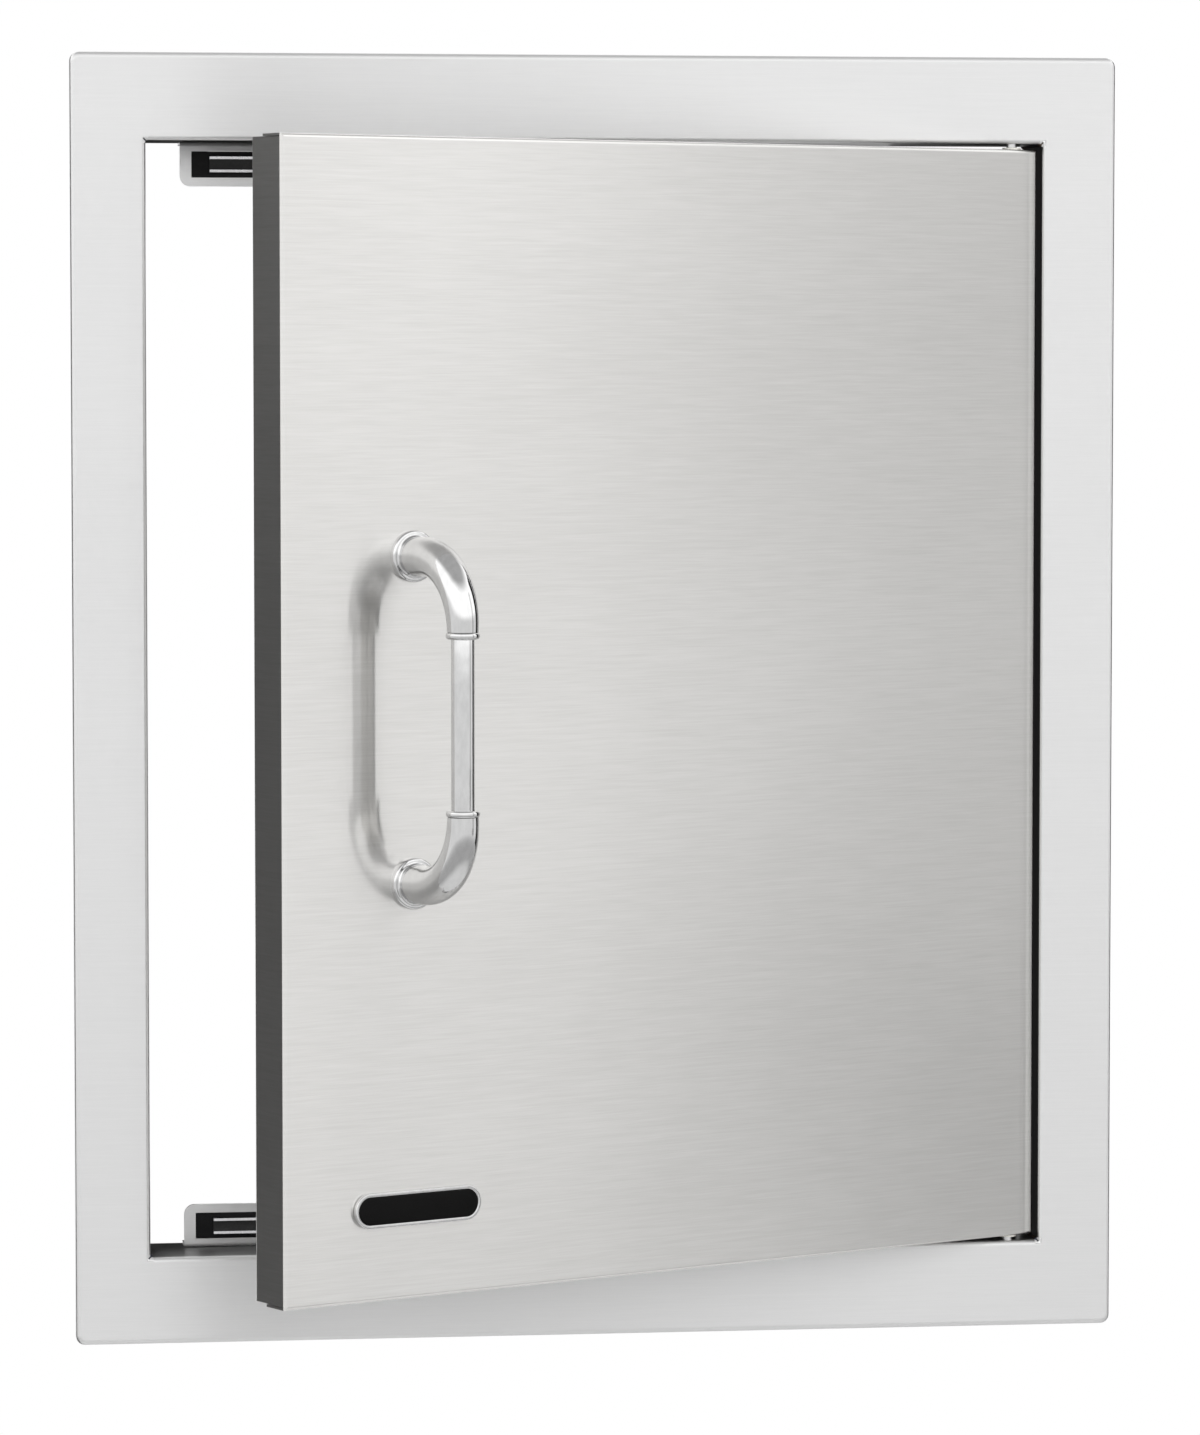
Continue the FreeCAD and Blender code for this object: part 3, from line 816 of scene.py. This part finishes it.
@dataclass
class DHandle:
    """The pull handle: two tapered elbows with turned feet, and a straight bar between them."""

    pose: DoorPose
    x: float = -0.1312
    spacing: float = 0.1348
    standoff: float = 0.038
    base_radius: float = 0.0082
    end_radius: float = 0.00635
    bend_radius: float = 0.028
    neck: float = 0.00465
    foot_radius: float = 0.01065
    foot_height: float = 0.0024
    foot_round: float = 0.0010
    cove: float = 0.0009
    bead_radius: float = 0.0070
    bead_width: float = 0.0029
    bead_round: float = 0.0012
    bar_radius: float = 0.0048
    bar_seat: float = 0.0080
    bar_inset: float = 0.0012
    bar_round: float = 0.0004
    sides: int = 72
    bend_steps: int = 28
    round_steps: int = 4

    def build(self, chrome: Material) -> None:
        """Make the elbows and the bar and hang them on the door.

        Args:
            chrome: The handle's finish.
        """
        upper = self._elbow()
        Bench.dress(upper, chrome)
        lower = Bench.twin(upper, "handle_elbow_lower_chrome", Matrix.Scale(-1, 4, (0, 0, 1)))
        bar = self._bar()
        Bench.dress(bar, chrome)
        for piece, node in ((upper, "handle_elbows"), (lower, "handle_elbows"), (bar, "handle_bar")):
            Bench.settle(piece, self.pose.swing())
            hand_over(piece, Body.DOOR, node)

    def _taper(self, travelled: float) -> float:
        """Return the elbow's radius after a length of its centre line from the bend's start."""
        whole = self.bend_radius * QUARTER_TURN + self.neck
        return self.base_radius + (self.end_radius - self.base_radius) * travelled / whole

    def _rings(self) -> Iterator[Ring]:
        """Yield the upper elbow's sections from the door to the bottom of the bar's socket."""
        top = self.spacing / 2
        stem = self.standoff - self.bend_radius
        quadrant = [QUARTER_TURN * step / self.round_steps for step in range(self.round_steps + 1)]
        for angle in quadrant:
            sunk = self.foot_round * (1 - math.sin(angle))
            yield Ring(self.foot_height - sunk, top, 0,
                       self.foot_radius - self.foot_round * (1 - math.cos(angle)))
        for angle in quadrant:
            risen = self.cove * (1 - math.cos(angle))
            yield Ring(self.foot_height + risen, top, 0,
                       self.base_radius + self.cove * (1 - math.sin(angle)))
        for step in range(self.bend_steps + 1):
            turn = step / self.bend_steps * QUARTER_TURN
            yield Ring(stem + self.bend_radius * math.sin(turn),
                       top - self.bend_radius * (1 - math.cos(turn)), turn,
                       self._taper(self.bend_radius * turn))
        neck_top = top - self.bend_radius
        neck_end = neck_top - self.neck
        bead_top = neck_end + self.bead_width
        yield Ring(self.standoff, bead_top, QUARTER_TURN,
                   self._taper(self.bend_radius * QUARTER_TURN + self.neck - self.bead_width))
        core = self.bead_radius - self.bead_round
        for edge, inward, angles in ((bead_top, -1, quadrant), (neck_end, 1, quadrant[::-1])):
            for angle in angles:
                up = edge + inward * self.bead_round * (1 - math.cos(angle))
                yield Ring(self.standoff, up, QUARTER_TURN, core + self.bead_round * math.sin(angle))
        for up in (neck_end, neck_end + self.bar_seat):
            yield Ring(self.standoff, up, QUARTER_TURN, self.bar_radius + FIT)

    def _elbow(self) -> Object:
        """Model the upper elbow as a disc drawn out ring by ring.

        Returns:
            The elbow, on the shut door.
        """
        Bench.clear()
        at = Vector((self.x, self.pose.face_y, self.spacing / 2))
        bpy.ops.mesh.primitive_circle_add(vertices=self.sides, radius=self.foot_radius,
                                          fill_type="NGON", location=at, rotation=(QUARTER_TURN, 0, 0))
        Bench.start("handle_elbow_upper_chrome")
        Bench.edit()
        bpy.ops.mesh.select_all(action="SELECT")
        radius, turn = self.foot_radius, 0.0
        for ring in self._rings():
            there = Vector((self.x, self.pose.face_y - ring.out, ring.up))
            Bench.pull(there - at)
            if ring.turn != turn:
                bpy.ops.transform.rotate(value=turn - ring.turn, orient_axis="X", center_override=there)
            ratio = ring.radius / radius
            bpy.ops.transform.resize(value=(ratio,) * 3, center_override=there)
            at, radius, turn = there, ring.radius, ring.turn
        Bench.mend_normals()
        return Bench.leave()

    def _bar(self) -> Object:
        """Model the bar as a rod with eased ends that sit in the elbows' sockets.

        Returns:
            The bar, on the shut door.
        """
        half = self.spacing / 2 - self.bend_radius - self.neck + self.bar_seat - FIT
        Bench.clear()
        middle = (self.x, self.pose.face_y - self.standoff, 0)
        bpy.ops.mesh.primitive_cylinder_add(vertices=self.sides, radius=self.bar_radius,
                                            depth=2 * half, location=middle)
        bar = Bench.start("handle_bar_chrome")
        Bench.edit()
        Bench.pick("FACE", lambda place: abs(place.z) > half - TOUCH)
        bpy.ops.mesh.inset(thickness=self.bar_inset)
        Bench.leave()
        Bench.round_edges(bar, self.bar_round)
        return bar


@dataclass
class Badge:
    """The bare oblong badge at the door's lower free corner: a bright rim round a black inlay."""

    pose: DoorPose
    x: float = -0.1298
    z: float = -0.2014
    length: float = 0.0615
    height: float = 0.0146
    thickness: float = 0.0020
    rim: float = 0.0015
    rim_round: float = 0.0003
    sunk: float = 0.0006
    inlay_depth: float = 0.00045
    inlay_round: float = 0.00012
    crown_inset: float = 0.0008
    crown: float = 0.00009
    sides: int = 96

    def build(self, chrome: Material, enamel: Material) -> None:
        """Make the rim and the inlay and fix them to the door.

        Args:
            chrome: The rim's finish.
            enamel: The inlay's finish.
        """
        plate = self._oblong("badge_rim", self.height / 2, 0.0, self.thickness)
        Bench.edit()
        top_y = self.pose.face_y - self.thickness
        Bench.pick("FACE", lambda place: place.y < top_y + TOUCH)
        bpy.ops.mesh.inset(thickness=self.rim)
        Bench.pull((0, self.sunk, 0))
        Bench.leave()
        Bench.round_edges(plate, self.rim_round)
        floor = self.thickness - self.sunk
        inlay = self._oblong("badge_inlay", self.height / 2 - self.rim - FIT, floor, self.inlay_depth)
        Bench.edit()
        face_y = self.pose.face_y - floor - self.inlay_depth
        Bench.pick("FACE", lambda place: place.y < face_y + TOUCH)
        bpy.ops.mesh.inset(thickness=self.crown_inset)
        Bench.slide((0, -self.crown, 0))
        Bench.leave()
        Bench.round_edges(inlay, self.inlay_round, 2)
        for piece, material, slot in ((plate, chrome, Slot.CHROME), (inlay, enamel, Slot.BLACK_PLASTIC)):
            Bench.dress(piece, material)
            Bench.settle(piece, self.pose.swing())
            hand_over(piece, Body.DOOR)

    def _oblong(self, name: str, radius: float, lift: float, depth: float) -> Object:
        """Model a flat oblong with round ends.

        Args:
            name: The piece's name.
            radius: The radius of its ends.
            lift: How far its back lies off the door's face.
            depth: Its thickness.

        Returns:
            The oblong, on the shut door.
        """
        straight = self.length / 2 - self.height / 2
        back_y = self.pose.face_y - lift
        Bench.clear()
        bpy.ops.mesh.primitive_circle_add(vertices=self.sides, radius=radius, fill_type="NGON",
                                          location=(self.x, back_y, self.z),
                                          rotation=(QUARTER_TURN, 0, math.pi / self.sides))
        Bench.start(name)
        Bench.edit()
        Bench.pick("VERT", lambda place: place.x > self.x + TOUCH)
        Bench.slide((straight, 0, 0))
        Bench.pick("VERT", lambda place: place.x < self.x - TOUCH)
        Bench.slide((-straight, 0, 0))
        bpy.ops.mesh.select_mode(type="FACE")
        bpy.ops.mesh.select_all(action="SELECT")
        Bench.pull((0, -depth, 0))
        Bench.mend_normals()
        return Bench.leave()


@dataclass
class CrossScrew:
    """A pan-head screw with a cross recess, modelled head up with its seat at the origin.

    The last four sizes are shares, of the head's height, of the recess's mouth and of the shank.
    """

    name: str
    head_radius: float
    head_height: float
    shank_radius: float
    length: float
    recess_width: float = 0.0009
    sides: int = 64
    smooth: float = 40.0
    recess_depth: float = 0.6
    crown: float = 0.55
    recess_floor: float = 0.45
    tip: float = 0.7

    def build(self, steel: Material) -> Object:
        """Model the screw and dress it.

        Args:
            steel: Its finish.

        Returns:
            The screw.
        """
        Bench.clear()
        bpy.ops.mesh.primitive_cylinder_add(vertices=self.sides, radius=self.head_radius,
                                            depth=self.head_height, location=(0, 0, self.head_height / 2))
        screw = Bench.start(self.name)
        Bench.edit()
        Bench.pick("FACE", lambda place: place.z > self.head_height - TOUCH)
        bpy.ops.mesh.bevel(offset=self.head_height * self.crown, segments=6, affect="EDGES")
        Bench.pick("FACE", lambda place: place.z < TOUCH)
        bpy.ops.mesh.inset(thickness=self.head_radius - self.shank_radius)
        Bench.pull((0, 0, -self.length))
        bpy.ops.transform.resize(value=(self.tip, self.tip, 1), center_override=(0, 0, -self.length))
        Bench.leave()
        for turn in (0, QUARTER_TURN):
            Bench.carve(screw, self._blade(turn))
        Bench.dress(screw, steel, self.smooth)
        return screw

    def _blade(self, turn: float) -> Object:
        """Model one arm of the cross recess as a tapered blade.

        Args:
            turn: The arm's turn about the screw's axis.

        Returns:
            The blade.
        """
        Bench.clear()
        depth = self.head_height * self.recess_depth
        bpy.ops.mesh.primitive_cube_add(size=1, location=(0, 0, self.head_height), rotation=(0, 0, turn),
                                        scale=(self.head_radius, self.recess_width, 2 * depth))
        Bench.start("recess_blade")
        Bench.edit()
        Bench.pick("FACE", lambda place: place.z < self.head_height - TOUCH)
        bpy.ops.transform.resize(value=(self.recess_floor, self.recess_floor, 1), center_override=(0, 0, 0))
        return Bench.leave()


@dataclass
class CatchFixings:
    """The four screws that hold the two magnetic catches to the frame, each at its own turn."""

    head_radius: float = 0.0028
    head_height: float = 0.0018
    shank_radius: float = 0.0015
    head_clearance: float = 0.0002
    turn_degrees: float = 23.0
    drift_degrees: float = 31.0

    def build(self, steel: Material) -> None:
        """Make the screws and fix them to the frame.

        Args:
            steel: The screws' finish.
        """
        low, high = (Vector(corner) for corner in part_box("catch_screws"))
        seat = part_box("catch_housing_top")[0][2] + self.head_clearance + self.head_height
        model = CrossScrew("catch_screw_model", self.head_radius, self.head_height,
                           self.shank_radius, high.z - seat).build(steel)
        y = (low.y + high.y) / 2
        places = {"left": low.x + self.head_radius, "right": high.x - self.head_radius}
        for side, x in places.items():
            for end, over in (("top", math.pi), ("bottom", 0.0)):
                z = seat if end == "top" else -seat
                turn = math.radians(self.turn_degrees + self.drift_degrees * (x + z))
                place = Matrix.Translation((x, y, z)) @ Matrix.Rotation(over, 4, "X")
                screw = Bench.twin(model, f"catch_screw_{end}_{side}",
                                   place @ Matrix.Rotation(turn, 4, "Z"))
                hand_over(screw, Body.FRAME, "catch_screws")
        bpy.data.objects.remove(model)


@dataclass
class HandleFixings:
    """The two screws inside the door that hold the handle, seen through the liner's holes."""

    pose: DoorPose
    handle: DHandle
    skin: float = 0.0010
    head_radius: float = 0.0060
    head_height: float = 0.0032
    shank_radius: float = 0.0025
    grip: float = 0.0090
    recess_width: float = 0.0013
    turn_radians: float = 0.4
    drift_radians: float = 20.0

    def build(self, steel: Material) -> None:
        """Make the screws and fix them in the door.

        Args:
            steel: The screws' finish.
        """
        model = CrossScrew("handle_screw_model", self.head_radius, self.head_height,
                           self.shank_radius, self.skin + self.grip, self.recess_width).build(steel)
        seat_y = self.pose.face_y + self.skin
        for end, z in (("upper", self.handle.spacing / 2), ("lower", -self.handle.spacing / 2)):
            turn = self.turn_radians + self.drift_radians * z
            facing = Matrix.Rotation(-QUARTER_TURN, 4, "X") @ Matrix.Rotation(turn, 4, "Z")
            place = self.pose.swing() @ Matrix.Translation((self.handle.x, seat_y, z)) @ facing
            screw = Bench.twin(model, f"handle_screw_{end}", place)
            hand_over(screw, Body.DOOR, "handle_screws")
        bpy.data.objects.remove(model)


@dataclass
class SolidParts:
    """The pieces whose solids are right as they are and only need their finish."""

    finishes: dict[str, Material]

    def dress(self) -> None:
        """Give each piece its finish."""
        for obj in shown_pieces():
            node = obj.get("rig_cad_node")
            if node is None:
                continue
            for start, material in self.finishes.items():
                if node.startswith(start):
                    obj.data.materials.clear()
                    obj.data.materials.append(material)
                    log.info("%s: %s", node, material.name)


@dataclass
class CornerWelds:
    """The short weld bead in each corner of the jamb, behind its bend relief."""

    radius: float = 0.0011
    tip_radius: float = 0.00066
    valley_radius: float = 0.000946
    front_y: float = -0.0034
    rear_clearance: float = 0.0002
    pitch: float = 0.0012
    steps_per_ripple: int = 3
    sides: int = 16
    smooth: float = 60.0

    def build(self, scale: Material) -> None:
        """Lay a bead in each corner of the opening.

        Args:
            scale: The bead's finish.
        """
        opening_x, opening_z = Opening().half_size()
        model = self._bead(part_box("door_frame")[1][1] - self.rear_clearance)
        Bench.dress(model, scale, self.smooth)
        for end, z in (("top", opening_z), ("bottom", -opening_z)):
            for side, x in (("left", -opening_x), ("right", opening_x)):
                bead = Bench.twin(model, f"corner_weld_{end}_{side}", Matrix.Translation((x, 0, z)))
                hand_over(bead, Body.FRAME)
        bpy.data.objects.remove(model)

    def _bead(self, rear_y: float) -> Object:
        """Model a bead as a disc drawn back in ripples.

        Args:
            rear_y: Where the bead ends.

        Returns:
            The bead, along the Y axis.
        """
        Bench.clear()
        bpy.ops.mesh.primitive_circle_add(vertices=self.sides, radius=self.tip_radius, fill_type="NGON",
                                          location=(0, self.front_y, 0), rotation=(QUARTER_TURN, 0, 0))
        Bench.start("corner_weld_model")
        Bench.edit()
        bpy.ops.mesh.select_all(action="SELECT")
        length = rear_y - self.front_y
        steps = round(length * self.steps_per_ripple / self.pitch)
        radius = self.tip_radius
        for step in range(1, steps + 1):
            wanted = self.radius if step % self.steps_per_ripple else self.valley_radius
            Bench.pull((0, length / steps, 0))
            there = (0, self.front_y + length * step / steps, 0)
            bpy.ops.transform.resize(value=(wanted / radius, 1, wanted / radius), center_override=there)
            radius = wanted
        Bench.mend_normals()
        return Bench.leave()


@dataclass
class Card:
    """A studio card that only reflections see."""

    name: str
    centre: Triple
    size: Pair
    cloth: StudioCloth
    azimuth: float = 0.0
    lying: bool = False

    def build(self) -> None:
        """Hang the card upright, turned to its azimuth, or lay it flat."""
        Bench.clear()
        upright = 0.0 if self.lying else QUARTER_TURN
        bpy.ops.mesh.primitive_plane_add(size=1, location=self.centre,
                                         rotation=(upright, 0, math.radians(self.azimuth)))
        card = bpy.context.object
        card.name = self.name
        card.scale = (*self.size, 1)
        card.data.materials.append(self.cloth.material(self.name + "_cloth"))
        card.visible_camera = False
        card.visible_diffuse = False
        card.visible_shadow = False
        card.visible_transmission = False
        card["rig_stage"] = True
        log.info("%s: card", self.name)


@dataclass
class Lamp:
    """A soft square lamp that looks at the object, and that no reflection shows."""

    name: str
    place: Triple
    size: float
    power: float

    def build(self) -> None:
        """Hang the lamp."""
        Bench.clear()
        bpy.ops.object.light_add(type="AREA", location=self.place)
        lamp = bpy.context.object
        lamp.name = self.name
        lamp.data.shape = "SQUARE"
        lamp.data.size = self.size
        lamp.data.energy = self.power
        lamp.rotation_euler = (-Vector(self.place)).to_track_quat("-Z", "Y").to_euler()
        lamp.visible_glossy = False


@dataclass
class Studio:
    """The pale floor, the white surround, the soft lamps, the cards and the camera."""

    floor_drop: float = 0.35
    floor_size: float = 12.0
    ambient: float = 0.62
    horizon: float = 1.0
    soft_light: float = 1.68
    ceiling: float = 0.58
    horizon_band: Pair = (0.03, 0.2)
    ceiling_band: Pair = (0.6, 0.85)
    lens: float = 152.092
    sensor: float = 36.0
    eye: Triple = (-0.34824, -2.62121, 0.15394)
    tilt: float = -0.06139
    pan: float = -0.13260

    def build(self) -> None:
        """Set the stage, with colours shown as they are."""
        bpy.context.scene.view_settings.view_transform = "Standard"
        self._world()
        floor_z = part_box("door_frame")[0][2] - self.floor_drop
        self._floor(floor_z)
        Lamp("key_light", place=(-1.7, -1.9, 2.3), size=1.8, power=55.0).build()
        Lamp("fill_light", place=(1.9, -1.6, 1.5), size=1.6, power=27.5).build()
        self._cards(floor_z)
        self._camera()

    def _world(self) -> None:
        """Surround the object with white for the eye, and with a brighter sky for reflections."""
        world = bpy.data.worlds.new("white_surround")
        world.use_nodes = True
        bpy.context.scene.world = world
        graph = Graph(world.node_tree)
        seen = graph.node("ShaderNodeLightPath", output="Is Camera Ray")
        mirrored = graph.node("ShaderNodeLightPath", output="Is Glossy Ray")
        through = graph.node("ShaderNodeLightPath", output="Is Transmission Ray")
        heading = graph.node("ShaderNodeTexCoord", output="Generated")
        height = graph.node("ShaderNodeSeparateXYZ", inputs={0: heading}, output="Z")
        sky = self.horizon + height.ramp(*self.horizon_band) * (self.soft_light - self.horizon)
        sky = sky - height.ramp(*self.ceiling_band) * (self.soft_light - self.ceiling)
        strength = self.ambient + (seen + through) * (1.0 - self.ambient) + mirrored * (sky - self.ambient)
        light = graph.node("ShaderNodeBackground", inputs={"Color": (1, 1, 1, 1), "Strength": strength})
        graph.node("ShaderNodeOutputWorld", inputs={"Surface": light})

    def _floor(self, floor_z: float) -> None:
        """Lay the floor below the object.

        Args:
            floor_z: The floor's height.
        """
        Bench.clear()
        bpy.ops.mesh.primitive_plane_add(size=self.floor_size, location=(0, 0, floor_z))
        floor = bpy.context.object
        floor.name = "floor"
        floor.data.materials.append(PaleFloor().material("pale_floor"))
        floor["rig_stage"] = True

    def _cards(self, floor_z: float) -> None:
        """Hang the cards that shape the metal's reflections.

        Args:
            floor_z: The floor's height.
        """
        dark, dim, grey = StudioCloth(0.02), StudioCloth(0.085), StudioCloth(0.09)
        near_floor = StudioCloth(0.54, start=0.0, end=1.0, fade_from=0.07, fade_to=0.14, fade=Fade.OUTWARD)
        net = StudioCloth(0.0, start=0.38, end=0.0, fade_from=-0.3, fade_to=0.40)
        low_net = StudioCloth(0.0, start=0.36, end=0.10, fade_from=-0.3, fade_to=0.40)
        above, higher, jamb = floor_z + 0.004, floor_z + 0.008, (0.045, 0.03)
        for card in (
                Card("floor_card", centre=(0, 0, above), size=(5.0, 5.0), cloth=near_floor, lying=True),
                Card("side_flag", centre=(-1.36, 0.72, -0.3), size=(0.70, 1.9), cloth=dim, azimuth=56),
                Card("side_floor_flag", centre=(-0.80, 0.36, higher), size=(0.7, 0.9), cloth=grey,
                     azimuth=56, lying=True),
                Card("right_net", centre=(1.95, -1.04, 0), size=(0.74, 3.0), cloth=net, azimuth=-104),
                Card("right_low_net", centre=(1.93, -1.03, -1.0), size=(0.74, 1.3), cloth=low_net,
                     azimuth=-104),
                Card("right_rear_flag", centre=(1.45, 0.55, 0), size=(0.90, 2.4), cloth=dark, azimuth=-69),
                Card("rear_flag", centre=(-0.99, 1.18, 0.45), size=(0.72, 1.3), cloth=dim, azimuth=40),
                Card("lower_jamb_flag", centre=(-0.175, 0.050, -0.226), size=jamb, cloth=dark),
                Card("upper_jamb_flag", centre=(-0.175, 0.050, 0.226), size=jamb, cloth=dark),
                Card("upper_heel_flag", centre=(-0.150, 0.010, 0.2411), size=(0.060, 0.022), cloth=dark,
                     lying=True),
                Card("hinge_jamb_flag", centre=(0.168, 0.052, 0), size=(0.06, 0.50), cloth=dark)):
            card.build()

    def _camera(self) -> None:
        """Stand the camera where the photograph was taken from."""
        Bench.clear()
        bpy.ops.object.camera_add(location=self.eye, rotation=(QUARTER_TURN + self.tilt, 0, self.pan))
        camera = bpy.context.object
        camera.name = "camera"
        camera.data.lens = self.lens
        camera.data.sensor_width = self.sensor
        bpy.context.scene.camera = camera


def main() -> None:
    """Build and dress the door, then set the stage."""
    logging.basicConfig(level=logging.INFO, format="%(name)s: %(message)s")
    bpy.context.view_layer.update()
    pose = DoorPose()
    chrome = PolishedChrome().material("polished_chrome")
    fastener = PlatedSteel().material("bright_fastener_steel")
    # The frame's finish paints shade on the jamb's inner faces inside the opening.
    frame_steel = BrushedSteel(throat=Opening().half_size()).material("brushed_steel_frame")
    bracket_steel = BrushedSteel().material("brushed_steel_bracket")
    door_finish = BrushedSteel(warmth=0.024, fine_share=0.7, grain_depth=0.055, turn=pose.ajar)
    door_steel = door_finish.material("brushed_steel_door")
    plated = PlatedSteel(shade=0.70, blue=0.015, roughness=0.26).material("zinc_plated_steel")
    moulding = MouldedPlastic().material("black_moulding")
    handle = DHandle(pose)
    handle.build(chrome)
    Badge(pose).build(PolishedChrome(roughness=0.10, ripple=0.05).material("badge_rim_chrome"),
                      BadgeEnamel().material("badge_enamel"))
    CatchFixings().build(fastener)
    # The weld beads are dark partly from weld scale and partly as painted shade in the corner relief holes.
    CornerWelds().build(WeldScaleAndShade().material("weld_scale_and_shade"))
    HandleFixings(pose, handle).build(fastener)
    SolidParts({
        "door_frame": frame_steel,
        "catch_bracket": bracket_steel,
        "door_skin": door_steel,
        "door_liner": door_steel,
        "hinge_pin": fastener,
        "hinge_nuts": fastener,
        "hinge_bush": MouldedPlastic((0.62, 0.61, 0.57), 0.42, 0.5).material("acetal_bush"),
        "catch_housing": moulding,
        "catch_magnet": SinteredFerrite().material("sintered_ferrite"),
        "catch_poles": plated,
        "strike_plate": plated,
    }).dress()
    Studio().build()


if __name__ == "__main__":
    main()
